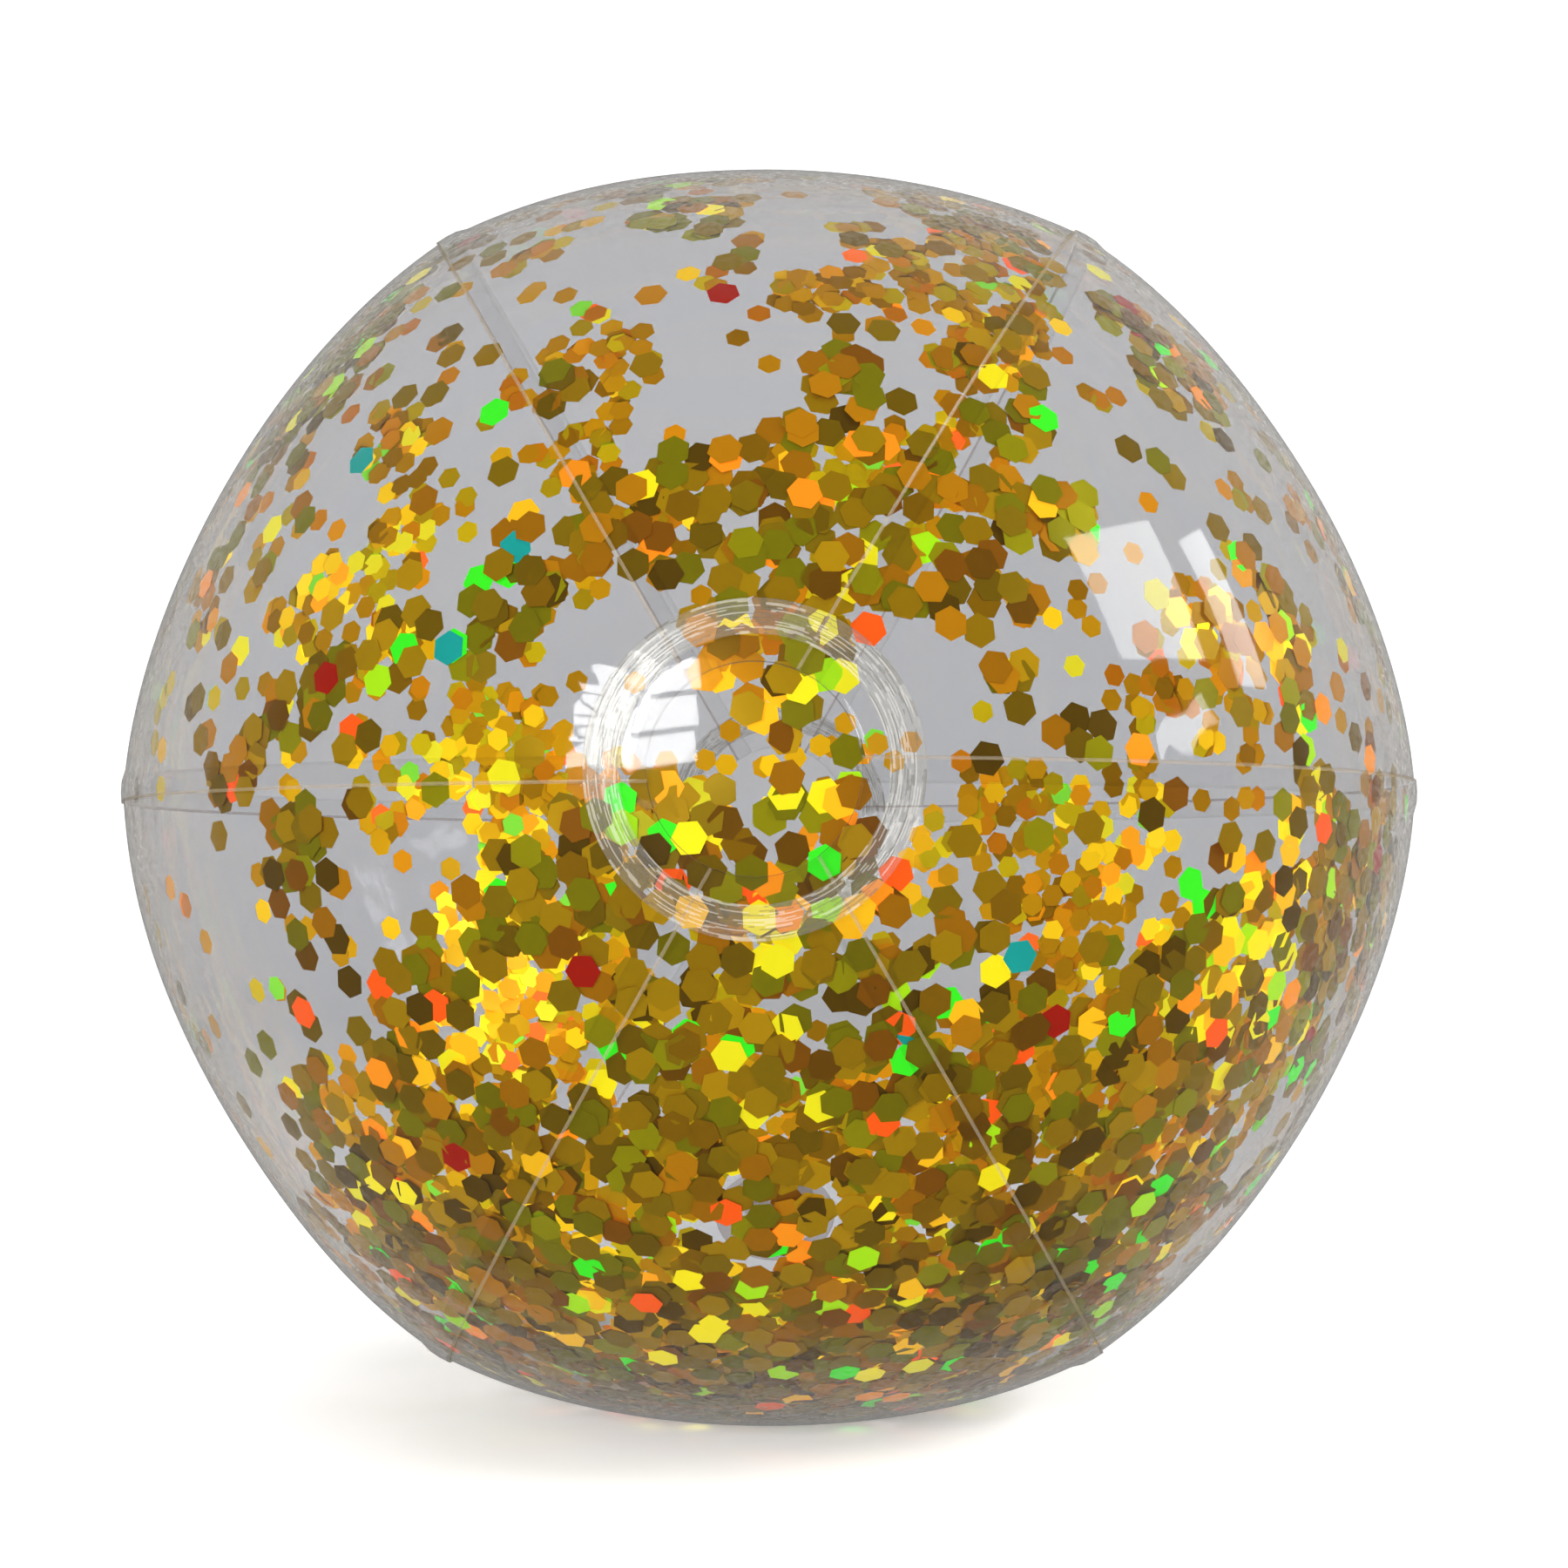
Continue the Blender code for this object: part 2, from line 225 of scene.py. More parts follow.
def new_material(name):
    made = bpy.data.materials.new(name)
    made.use_nodes = True
    nodes = made.node_tree.nodes
    nodes.clear()
    output = nodes.new("ShaderNodeOutputMaterial")
    return made, nodes, made.node_tree.links, output


def film_material(name, tint, haze, rim_haze, gloss, haze_colour, grain=0.0):
    """Clear film: it tints what is behind it, reflects more at a slant, and turns milky towards its edge."""
    made, nodes, links, output = new_material(name)
    clear = nodes.new("ShaderNodeBsdfTransparent")
    clear.inputs["Color"].default_value = (*tint, 1)
    milk = nodes.new("ShaderNodeBsdfDiffuse")
    milk.inputs["Color"].default_value = (*haze_colour, 1)
    facing = nodes.new("ShaderNodeLayerWeight")
    facing.inputs["Blend"].default_value = 0.5
    power = nodes.new("ShaderNodeMath")
    power.operation = "POWER"
    links.new(facing.outputs["Facing"], power.inputs[0])
    power.inputs[1].default_value = RIM_POWER
    scale = nodes.new("ShaderNodeMapRange")
    scale.inputs["To Min"].default_value = haze
    scale.inputs["To Max"].default_value = rim_haze
    links.new(power.outputs[0], scale.inputs["Value"])
    amount = scale.outputs["Result"]
    if grain:
        place = nodes.new("ShaderNodeTexCoord")
        speck = nodes.new("ShaderNodeTexNoise")
        speck.inputs["Scale"].default_value = GRAIN_SCALE
        speck.inputs["Detail"].default_value = 3.0
        links.new(place.outputs["Object"], speck.inputs["Vector"])
        spread = nodes.new("ShaderNodeMapRange")
        spread.inputs["From Min"].default_value = 0.3
        spread.inputs["From Max"].default_value = 0.7
        spread.inputs["To Min"].default_value = 1 - grain
        spread.inputs["To Max"].default_value = 1 + grain
        links.new(speck.outputs["Fac"], spread.inputs["Value"])
        times = nodes.new("ShaderNodeMath")
        times.operation = "MULTIPLY"
        links.new(amount, times.inputs[0])
        links.new(spread.outputs["Result"], times.inputs[1])
        amount = times.outputs[0]
    body = nodes.new("ShaderNodeMixShader")
    links.new(amount, body.inputs["Fac"])
    links.new(clear.outputs[0], body.inputs[1])
    links.new(milk.outputs[0], body.inputs[2])
    shine = nodes.new("ShaderNodeBsdfGlossy")
    shine.inputs["Roughness"].default_value = gloss
    reflect = nodes.new("ShaderNodeMapRange")
    reflect.inputs["To Min"].default_value = FILM_REFLECTION
    reflect.inputs["To Max"].default_value = 1.0
    links.new(power.outputs[0], reflect.inputs["Value"])
    mix = nodes.new("ShaderNodeMixShader")
    links.new(reflect.outputs["Result"], mix.inputs["Fac"])
    links.new(body.outputs[0], mix.inputs[1])
    links.new(shine.outputs[0], mix.inputs[2])
    links.new(mix.outputs[0], output.inputs["Surface"])
    return made


def plain_clear(name, tint):
    made, nodes, links, output = new_material(name)
    clear = nodes.new("ShaderNodeBsdfTransparent")
    clear.inputs["Color"].default_value = (*tint, 1)
    links.new(clear.outputs[0], output.inputs["Surface"])
    return made


def principled(name, colour, roughness, metallic=0.0, emission=0.0, specular=0.5):
    made, nodes, links, output = new_material(name)
    shader = nodes.new("ShaderNodeBsdfPrincipled")
    shader.inputs["Base Color"].default_value = (*colour, 1)
    shader.inputs["Roughness"].default_value = roughness
    shader.inputs["Metallic"].default_value = metallic
    shader.inputs["Specular IOR Level"].default_value = specular
    if emission:
        shader.inputs["Emission Color"].default_value = (*colour, 1)
        shader.inputs["Emission Strength"].default_value = emission
    links.new(shader.outputs[0], output.inputs["Surface"])
    return made


def linear(red, green, blue):
    """A colour given in 8-bit display values, as Blender's linear colour."""
    return tuple((value / 255 / 12.92) if value < 11 else ((value / 255 + 0.055) / 1.055) ** 2.4
                 for value in (red, green, blue))


# ---------------------------------------------------------------- pieces

def add_piece(name, mesh, body, looks, replaced=()):
    made = bpy.data.objects.new(name, mesh)
    bpy.context.scene.collection.objects.link(made)
    for look in looks:
        mesh.materials.append(look)
    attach(made, body)
    if replaced:
        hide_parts(*replaced)
    return made


def open_valve_hole(shape):
    """Opens a round hole: points inside it move out to its rim, and the faces between them go."""
    inside = {}
    for vertex in shape.verts:
        off = vertex.co - VALVE_PLACE
        off -= VALVE_AXIS * off.dot(VALVE_AXIS)
        if off.length < VALVE_HOLE and (vertex.co - VALVE_PLACE).length < 2 * VALVE_HOLE:
            inside[vertex] = off
    gone = [face for face in shape.faces if all(vertex in inside for vertex in face.verts)]
    bmesh.ops.delete(shape, geom=gone, context="FACES")
    for vertex, off in inside.items():
        if vertex.is_valid:
            vertex.co += off.normalized() * (VALVE_HOLE - off.length)


def make_gore(number, looks):
    """A gore with its lap on each side.

    Looks: inner face, outer face, cut edge, welded lap (twice), line along the weld (inner, outer)
    and faint line (inner, outer). An outer face takes the look after its inner face's.
    """
    first_seam = number * GORE_ANGLE
    last_seam = first_seam + GORE_ANGLE
    start = math.asin(GORE_HOLE / (SEAM_RADIUS - FILM))
    lap_places = (-1.0, -1 + 2 * SEAM_LINE / LAP, 0.0, 1 - 2 * SEAM_LINE / LAP, 1.0)
    lap_columns = len(lap_places) - 1
    columns = GORE_MIDDLE_COLUMNS + 2 * (lap_columns + 1)
    look_of_column = [0] * columns
    look_of_column[:lap_columns] = [WELD_LOOK] * lap_columns
    look_of_column[0] = FAINT_LINE_LOOK
    look_of_column[-1] = LINE_LOOK
    shape = bmesh.new()
    bmesh.ops.create_grid(shape, x_segments=columns, y_segments=GORE_ROWS, size=1.0)
    for face in shape.faces:
        column = int((face.calc_center_median().x + 1) / 2 * columns)
        face.material_index = look_of_column[column]
        face.smooth = True
    for vertex in shape.verts:
        column = round((vertex.co.x + 1) / 2 * columns)
        row = round((vertex.co.y + 1) / 2 * GORE_ROWS)
        polar = start + (math.pi - 2 * start) * row / GORE_ROWS
        reach = film_radius(polar, first_seam) * math.sin(polar)
        half_lap = LAP / 2 / reach
        step = JOGGLE / reach
        low = first_seam + half_lap + step
        high = last_seam - half_lap - step
        level = 0.0
        if column <= lap_columns:
            azimuth = first_seam + lap_places[column] * half_lap
        elif column <= lap_columns + 1 + GORE_MIDDLE_COLUMNS:
            share = (column - lap_columns - 1) / GORE_MIDDLE_COLUMNS
            azimuth = low + (high - low) * share
        else:
            azimuth = last_seam + lap_places[column - columns + lap_columns] * half_lap
            level = LAP_LEVEL
        vertex.co = film_point(polar, azimuth, level + film_wave(polar, azimuth))
    if number == VALVE_GORE:
        open_valve_hole(shape)
    mesh = bpy.data.meshes.new(f"film_gore_{number + 1}")
    shape.to_mesh(mesh)
    shape.free()
    gore = add_piece(f"film_gore_{number + 1}", mesh, "shell", looks, [f"gore_{number + 1}"])
    shell = gore.modifiers.new("Thickness", "SOLIDIFY")
    shell.thickness = FILM
    shell.offset = 1.0
    shell.use_even_offset = True
    shell.material_offset = 1
    shell.material_offset_rim = 2
    return gore


def turned_mesh(name, profile, steps, closed):
    """Turns (radius, height, look) points about Z into one closed mesh."""
    shape = bmesh.new()
    rings = []
    for radius, height, _ in profile:
        if radius == 0.0:
            rings.append([shape.verts.new((0, 0, height))] * steps)
            continue
        turn = [2 * math.pi * i / steps for i in range(steps)]
        rings.append([shape.verts.new((radius * math.cos(a), radius * math.sin(a), height)) for a in turn])
    last = len(rings) if closed else len(rings) - 1
    for k in range(last):
        upper, lower = rings[k], rings[(k + 1) % len(rings)]
        for i in range(steps):
            j = (i + 1) % steps
            corners = []
            for corner in (upper[i], lower[i], lower[j], upper[j]):
                if corner not in corners:
                    corners.append(corner)
            face = shape.faces.new(corners)
            face.material_index = profile[k][2]
            face.smooth = True
    bmesh.ops.recalc_face_normals(shape, faces=shape.faces)
    mesh = bpy.data.meshes.new(name)
    shape.to_mesh(mesh)
    shape.free()
    return mesh


def ring_ridge(radius):
    """Height of the weld ring's ridges."""
    share = (radius - RING_INNER) / (RING_OUTER - RING_INNER)
    if not 0 <= share <= 1:
        return 0.0
    edge = smooth_step(0, 0.08, share) * smooth_step(0, 0.08, 1 - share)
    return edge * (0.00010 + 0.00008 * math.sin(2 * math.pi * 5 * share) ** 2)


def ring_look(band, azimuth):
    """Which of the ring's looks a small piece of it has, which gives broken, brushed streaks."""
    seed = Vector((math.cos(azimuth) * 3.0, math.sin(azimuth) * 3.0, band * 7.3))
    streak = noise.noise(seed) + 0.5 * noise.noise(seed * 2.7)
    milky, dark, bright = RING_LOOKS
    if streak > BRIGHT_STREAK:
        return bright
    if streak < DARK_STREAK:
        return dark
    return milky


def make_end_cap(name, replaced, turn, looks):
    """A domed disc of film; its outer side has the weld ring's ridges, and its inner side is smooth.

    Looks: inner face, disc over the gores' hole, disc over the gores' tips, and three for the ring.
    """
    disc_steps, tip_steps, inner_steps = 12, 3, 16
    base = SEAM_RADIUS - FILM
    profile = []

    def place(radius, level, look):
        polar = math.asin(radius / base)
        point = film_point(polar, math.pi / 2, level) - CENTRE
        profile.append((point.z if radius else 0.0, point.y + (level > CAP_LEVEL) * ring_ridge(radius), look))

    for i in range(disc_steps):
        place(GORE_HOLE * i / disc_steps, CAP_LEVEL + FILM, 1)
    for i in range(tip_steps):
        place(GORE_HOLE + (RING_INNER - GORE_HOLE) * i / tip_steps, CAP_LEVEL + FILM, 2)
    for i in range(RING_BANDS + 1):
        place(RING_INNER + (RING_OUTER - RING_INNER) * i / RING_BANDS, CAP_LEVEL + FILM, RING_LOOKS[0])
    for i in range(inner_steps, -1, -1):
        place(RING_OUTER * i / inner_steps, CAP_LEVEL, 0)
    mesh = turned_mesh(name, profile, CAP_STEPS, False)
    for face in mesh.polygons:
        if face.material_index == RING_LOOKS[0]:
            share = (math.hypot(face.center.x, face.center.y) - RING_INNER) / (RING_OUTER - RING_INNER)
            band = min(max(int(share * RING_BANDS), 0), RING_BANDS - 1)
            face.material_index = ring_look(band, math.atan2(face.center.y, face.center.x))
    mesh.transform(Matrix.Translation(CENTRE) @ Matrix.Rotation(turn, 4, "X"))
    return add_piece(name, mesh, "shell", looks, [replaced])


# ---------------------------------------------------------------- valve

def rounded(profile, radius, closed):
    """Rounds the corners of a profile of (radius, height) points."""
    points = [Vector(point) for point in profile]
    found = []
    for i, point in enumerate(points):
        if not closed and i in (0, len(points) - 1):
            found.append(point)
            continue
        before, after = points[i - 1] - point, points[(i + 1) % len(points)] - point
        start = point + before * min(radius / before.length, 0.4)
        end = point + after * min(radius / after.length, 0.4)
        for step in range(4):
            t = step / 3
            found.append(start * (1 - t) ** 2 + point * 2 * t * (1 - t) + end * t ** 2)
    return [(max(point.x, 0.0), point.y, 0) for point in found]


def dome(radius):
    return -radius * radius / (2 * DOME_RADIUS)


def add_valve_piece(name, mesh, height, body, replaced, look):
    turn = VALVE_AXIS.to_track_quat("Z", "Y").to_matrix().to_4x4()
    mesh.transform(Matrix.Translation(VALVE_PLACE) @ turn @ Matrix.Translation((0, 0, height)))
    return add_piece(name, mesh, body, [look], [replaced])


def make_valve(look):
    """The recessed flange, the push-in stem with its gripping collar, the plug and the check flap."""
    top, wall = FLANGE_TOP, FLANGE_THICKNESS
    neck, corner = STEM_RADIUS + NECK_CLEARANCE, CUP_RADIUS + wall
    outer = FLANGE_RADIUS - 0.0004
    flange = [
        (FLANGE_RADIUS, top - wall / 2 + dome(FLANGE_RADIUS)),
        (outer, top - wall + dome(outer)),
        (corner + 0.001, top - wall + dome(corner)),
        (corner, top - wall - 0.001),
        (corner, CUP_FLOOR - wall),
        (neck, CUP_FLOOR - wall),
        (neck, CUP_FLOOR),
        (CUP_RADIUS, CUP_FLOOR),
        (CUP_RADIUS, top + dome(CUP_RADIUS) - 0.0002),
        (CUP_RADIUS + 0.0002, top + dome(CUP_RADIUS)),
    ]
    for k in range(1, 12):
        radius = CUP_RADIUS + (FLANGE_RADIUS - CUP_RADIUS) * k / 12
        flange.append((radius, top + dome(radius) - 0.00015 * (k % 2)))
    mesh = turned_mesh("visual_valve_flange", rounded(flange, 0.0003, True), VALVE_STEPS, True)
    add_valve_piece("visual_valve_flange", mesh, 0, "shell", "valve_flange", look)

    under = STEM_TOP - COLLAR_THICKNESS
    stem = [
        (COLLAR_RADIUS, STEM_TOP),
        (COLLAR_RADIUS, under),
        (STEM_RADIUS, under),
        (STEM_RADIUS, STEM_END + BEAD_HEIGHT),
        (BEAD_RADIUS, STEM_END + BEAD_HEIGHT),
        (BEAD_RADIUS, STEM_END),
        (BORE_RADIUS, STEM_END),
        (BORE_RADIUS, STEM_TOP - BORE_TAPER),
        (BORE_MOUTH, STEM_TOP),
        (PLUG_RADIUS + 0.0006, STEM_TOP),
        (PLUG_RADIUS + 0.0009, STEM_TOP - 0.0002),
        (PLUG_RADIUS + 0.0014, STEM_TOP),
    ]
    mesh = turned_mesh("visual_valve_stem", rounded(stem, 0.00035, True), VALVE_STEPS * 2, True)
    for vertex in mesh.vertices:
        radius = math.hypot(vertex.co.x, vertex.co.y)
        if radius > COLLAR_RADIUS - 0.0002:
            grip = 1 - 0.016 * (0.5 + 0.5 * math.cos(36 * math.atan2(vertex.co.y, vertex.co.x)))
            vertex.co.x *= grip
            vertex.co.y *= grip
    add_valve_piece("visual_valve_stem", mesh, 0, "stem", "valve_stem", look)

    plug = [
        (0.0, PLUG_CROWN),
        (0.0030, PLUG_CROWN),
        (0.0034, PLUG_CROWN - 0.0003),
        (0.0040, PLUG_CROWN - 0.0003),
        (0.0044, PLUG_CROWN),
        (PLUG_RADIUS - 0.0010, PLUG_THICKNESS),
        (PLUG_RADIUS, PLUG_THICKNESS * 0.6),
        (PLUG_RADIUS, 0.0),
        (STUB_TOP, 0.0),
        (STUB_END, -STUB_LENGTH),
        (0.0, -STUB_LENGTH),
    ]
    mesh = turned_mesh("visual_valve_plug", rounded(plug, 0.0003, False), VALVE_STEPS, False)
    add_valve_piece("visual_valve_plug", mesh, STEM_TOP + GAP, "plug", "valve_plug", look)

    flap = [
        (0.0, FLAP_THICKNESS / 2),
        (FLAP_RADIUS, FLAP_THICKNESS / 2),
        (FLAP_RADIUS, -FLAP_THICKNESS / 2),
        (0.0035, -FLAP_THICKNESS / 2),
        (0.0032, -FLAP_THICKNESS / 2 - 0.0001),
        (0.0, -FLAP_THICKNESS / 2 - 0.0001),
    ]
    mesh = turned_mesh("visual_check_flap", rounded(flap, 0.00015, False), VALVE_STEPS, False)
    height = STEM_END - GAP - FLAP_THICKNESS / 2
    add_valve_piece("visual_check_flap", mesh, height, "flap", "check_flap", look)

    length = HINGE_REACH - PLUG_RADIUS - GAP
    shape = bmesh.new()
    bmesh.ops.create_grid(shape, x_segments=12, y_segments=8, size=1.0)
    for vertex in shape.verts:
        along, across = (vertex.co.x + 1) / 2, vertex.co.y
        waist = 1 - 0.12 * math.sin(math.pi * along)
        thin = TETHER_THICKNESS * (1 - 0.35 * math.sin(math.pi * along) ** 2)
        rim = thin * (1 - 0.25 * across ** 4)
        vertex.co = Vector((along * length - HINGE_REACH, across * TETHER_WIDTH / 2 * waist, rim))
    lid = bmesh.ops.extrude_face_region(shape, geom=list(shape.faces))
    for vertex in (item for item in lid["geom"] if isinstance(item, bmesh.types.BMVert)):
        vertex.co.z = 0.0
    bmesh.ops.recalc_face_normals(shape, faces=shape.faces)
    mesh = bpy.data.meshes.new("visual_plug_tether")
    shape.to_mesh(mesh)
    shape.free()
    add_valve_piece("visual_plug_tether", mesh, STEM_TOP + GAP, "plug", "plug_tether", look)


# ---------------------------------------------------------------- glitter

# Each family's display colours on the side that faces the film, then on the other side. The colour
# families are the flakes' own, but the inner side is painted brighter than the film side: painted
# light, as the far flakes look where they catch the window, against painted shade on the near ones.
# The two numbers are a colour's share in plain places and its share where painted highlights are put.
FAMILIES = {
    "olive": (
        [((80, 58, 2), 3, 1), ((102, 79, 2), 4, 2), ((120, 96, 3), 6, 3), ((106, 98, 3), 3, 1),
         ((98, 64, 2), 1, 1), ((236, 226, 26), 0.4, 6)],
        [((124, 95, 3), 4, 0), ((144, 112, 4), 4, 1), ((158, 123, 5), 3, 3), ((144, 130, 8), 2, 2),
         ((246, 206, 24), 0.2, 6)],
    ),
    "gold": (
        [((136, 104, 3), 7, 2), ((150, 117, 4), 5, 2), ((165, 127, 5), 2, 2), ((120, 86, 2), 4, 1),
         ((250, 232, 24), 0.7, 6), ((250, 190, 24), 0.5, 5)],
        [((158, 121, 5), 5, 0), ((174, 136, 6), 4, 2), ((196, 158, 8), 1.5, 4), ((236, 196, 22), 0.5, 6),
         ((252, 222, 40), 0.1, 5)],
    ),
    "amber": (
        [((148, 96, 3), 6, 2), ((172, 114, 4), 3, 2), ((116, 70, 2), 2, 1), ((250, 148, 24), 1.0, 5),
         ((250, 92, 20), 0.7, 2), ((150, 24, 8), 0.2, 0.3)],
        [((172, 117, 6), 5, 1), ((200, 138, 8), 3, 3), ((160, 102, 5), 3, 0), ((250, 168, 30), 0.4, 7),
         ((246, 110, 40), 0.6, 2)],
    ),
    "lime": (
        [((112, 106, 3), 6, 2), ((132, 126, 4), 3, 2), ((58, 236, 34), 1.2, 2), ((168, 228, 20), 0.7, 3),
         ((24, 150, 140), 0.1, 0.1)],
        [((152, 142, 8), 4, 1), ((176, 164, 10), 3, 3), ((216, 214, 40), 0.6, 5), ((120, 214, 60), 0.4, 0.6)],
    ),
}
FAMILY_SHARES = {"olive": 0.34, "gold": 0.34, "amber": 0.16, "lime": 0.16}
FILM_SIDE_GAIN = 0.53  # how bright a white flake looks from outside, on its outer side
INNER_SIDE_GAIN = 0.36  # the same for the inner side of a flake on the far half
FLAKE_METALLIC, FLAKE_SPECULAR = 0.3, 0.1
FLAKE_ROUGHNESS = (0.24, 0.29, 0.34)  # taken in turn

# Clumps on the near half, as seen from the front: azimuth, angle off the front pole, radius, strength.
# Where the strength is below 0 the film is barer.
NEAR_CLUMPS = [
    (300, 7, 4, 1.6), (225, 8, 3, 1.2), (345, 7.5, 3, 1.0), (100, 10, 3, 0.5), (45, 10, 2, 0.3),
    (190, 37, 6, 1.5), (170, 34, 5, 1.2), (162, 30, 3, 1.4), (139, 22, 4, 1.3), (215, 33, 5, 1.6),
    (231, 31, 5, 1.2), (265, 27, 9, 1.6), (285, 30, 9, 1.5), (250, 40, 9, 1.8), (300, 40, 9, 1.8),
    (270, 45, 12, 2.2), (318, 36, 6, 1.7), (335, 42, 8, 1.8), (348, 50, 8, 1.3), (318, 20, 5, 1.2),
    (20, 21, 5, 1.2), (8, 33, 4, 0.8), (52, 25, 4, 1.2), (55, 33, 3, 0.9), (12, 46, 7, 1.2),
    (75, 22, 5, 1.3), (103, 20, 5, 1.5), (105, 29, 3, 0.3), (118, 33, 4, 1.3), (75, 31, 6, 1.2),
    (62, 40, 5, 0.9), (228, 50, 8, 1.0), (305, 55, 10, 1.2), (240, 58, 10, 1.0), (95, 50, 8, 0.7),
    (40, 55, 8, 0.4), (150, 55, 8, 0.5), (205, 20, 4, 0.9), (240, 18, 5, 1.0), (90, 8, 4, 1.3),
    (200, 8, 4, 1.3), (252, 8, 5, 1.8), (90, 18, 6, 1.4), (70, 16, 5, 1.4), (270, 16, 6, 1.5),
    (145, 21, 5, 1.4), (72, 63, 9, 1.6), (345, 66, 10, 1.3), (20, 68, 7, 0.8), (100, 68, 8, 1.2),
    (130, 66, 8, 1.1), (94, 32, 9, -1.2), (42, 41, 7, -1.2), (147, 29, 7, -1.2), (112, 46, 8, -0.8),
    (185, 58, 10, -1.0), (25, 16, 5, -0.8), (325, 24, 5, -0.6), (120, 14, 6, -0.8),
    (272, 33, 6, 1.6), (255, 36, 6, 1.4), (104, 16, 6, 1.6), (285, 16, 6, 1.5), (312, 21, 6, 1.5),
    (345, 27, 5, -0.7), (43, 31, 4, 1.6), (135, 60, 7, 1.1), (128, 70, 7, 1.1), (270, 66, 12, 1.0),
    (30, 12, 4, -0.6), (268, 36, 7, 1.5), (106, 17, 4, 1.6), (135, 30, 6, -0.8), (45, 29, 6, -0.6),
    (16, 57, 7, -0.9), (76, 54, 7, -0.6), (138, 72, 7, 1.3), (75, 15, 4, 1.2), (48, 18, 4, 1.0),
    (345, 15, 5, -0.8), (345, 28, 6, -1.0), (45, 31, 5, 0.8), (255, 66, 10, 1.2), (215, 8, 4, 1.0),
    (254, 9, 4, 1.6), (165, 7, 4, -1.2), (330, 8, 5, -0.6),
]
# Clumps on the far half, seen through the ball: azimuth, angle off the rear pole, radius, strength
FAR_CLUMPS = [
    (190, 25, 9, 1.4), (215, 38, 11, 1.7), (170, 30, 8, 1.2), (155, 50, 9, 1.2), (150, 62, 8, 1.0),
    (135, 66, 7, 0.9), (110, 62, 8, 1.2), (85, 66, 8, 0.7), (66, 64, 9, 0.6), (66, 45, 8, 0.9),
    (85, 40, 7, 0.8), (110, 34, 7, 0.6), (50, 62, 7, 0.9), (20, 62, 8, 0.3), (30, 40, 7, 0.4),
    (355, 30, 9, 1.1), (345, 38, 8, 0.8), (5, 55, 8, 0.2), (330, 55, 12, 1.6), (300, 50, 14, 1.8),
    (270, 50, 16, 2.0), (240, 52, 14, 1.8), (270, 30, 9, 0.9), (225, 62, 10, 1.3),
    (315, 68, 12, 1.3), (195, 60, 6, 0.6), (120, 50, 5, 0.7), (90, 22, 6, 0.9), (20, 12, 5, 0.5),
    (135, 46, 6, 0.4), (165, 34, 5, 1.2), (12, 48, 7, 0.6), (200, 14, 6, 0.8), (70, 76, 10, 1.4),
    (340, 76, 10, 1.0), (94, 52, 10, -1.4), (40, 55, 8, -0.8), (147, 44, 7, -1.0),
    (112, 66, 7, -0.6), (185, 70, 10, -1.0), (30, 30, 8, -0.6), (120, 25, 7, -0.8),
]
# Places on the near half with one more layer of flakes: azimuth, angle off the front pole, spread, flakes
PACKED = [(269, 34, 5, 60), (240, 48, 9, 100), (270, 50, 10, 130), (300, 48, 9, 100)]
# Painted highlight for the packed flakes: how far they lean to the bright colours that stand in for the
# window's light
PACKED_PAINTED_GLINT = 0.12
# Places on the far half where the flakes get painted highlights, bright colours that stand in for the
# window's light on them: azimuth, angle, radius
FAR_PAINTED_GLINTS = [
    (209, 37, 11), (198, 30, 7), (178, 36, 6), (354, 40, 8), (345, 48, 7), (150, 58, 8),
    (166, 63, 7), (262, 66, 12),
]
# The same on the near half, where single flakes get painted highlights
NEAR_PAINTED_GLINTS = [(280, 7, 6), (40, 8, 5), (12, 45, 9), (340, 46, 9)]
BARE, FULL = 0.22, 0.62  # clump strengths at which the film is bare and fully covered
STRAYS = 0.03  # chance of a single flake in a bare place
RAGGED_SCALE, RAGGED_STRENGTH = 6.5, 0.55  # of the noise that breaks up the clumps' edges
EVERYWHERE = 0.10  # strength without any clump
CLUMP_STRENGTH = 0.55
CLUMP_REACH = 2.2  # in radii of the clump
BOTTOM_STRENGTH = 0.35
BOTTOM_STARTS, BOTTOM_FULL = -0.45, -0.9  # downward share of a direction


def directions(places, pole):
    """Turns (azimuth, angle off the pole, radius, ...) in degrees into directions and radians."""
    found = []
    for azimuth, off_axis, radius, *rest in places:
        turn, lean = math.radians(azimuth), math.radians(off_axis)
        towards = Vector((
            math.sin(lean) * math.cos(turn), pole * math.cos(lean), math.sin(lean) * math.sin(turn),
        ))
        found.append((towards, math.radians(radius), *rest))
    return found


def flake_density(towards, clumps):
    """Chance from 0 to 1 that a flake clings to the film in a direction from the middle of the ball."""
    ragged = noise.fractal(towards * RAGGED_SCALE, 0.8, 2.0, 4)
    total = EVERYWHERE + RAGGED_STRENGTH * ragged
    for middle, radius, strength in clumps:
        off = math.acos(min(max(towards.dot(middle), -1.0), 1.0)) / radius
        if off < CLUMP_REACH:
            total += CLUMP_STRENGTH * strength * math.exp(-off * off)
    total += BOTTOM_STRENGTH * smooth_step(BOTTOM_STARTS, BOTTOM_FULL, towards.z)
    return STRAYS + (1 - STRAYS) * smooth_step(BARE, FULL, total)


def painted_glint_at(towards, painted_glints):
    """How much painted highlight the flakes get in a direction, from 0 to 1: bright colours that stand in for
    the window's light.
    """
    total = 0.0
    for middle, radius in painted_glints:
        off = math.acos(min(max(towards.dot(middle), -1.0), 1.0)) / radius
        total += math.exp(-off * off)
    return min(total, 1.0)


def family_shares(towards):
    """The mix of colours drifts from place to place."""
    drift = noise.noise(towards * 3.5 + Vector((5, 5, 5)))
    shares = dict(FAMILY_SHARES)
    shares["amber"] *= 1 + 3 * max(drift, 0)
    shares["lime"] *= 1 + 3 * max(-drift, 0)
    return list(shares.items())


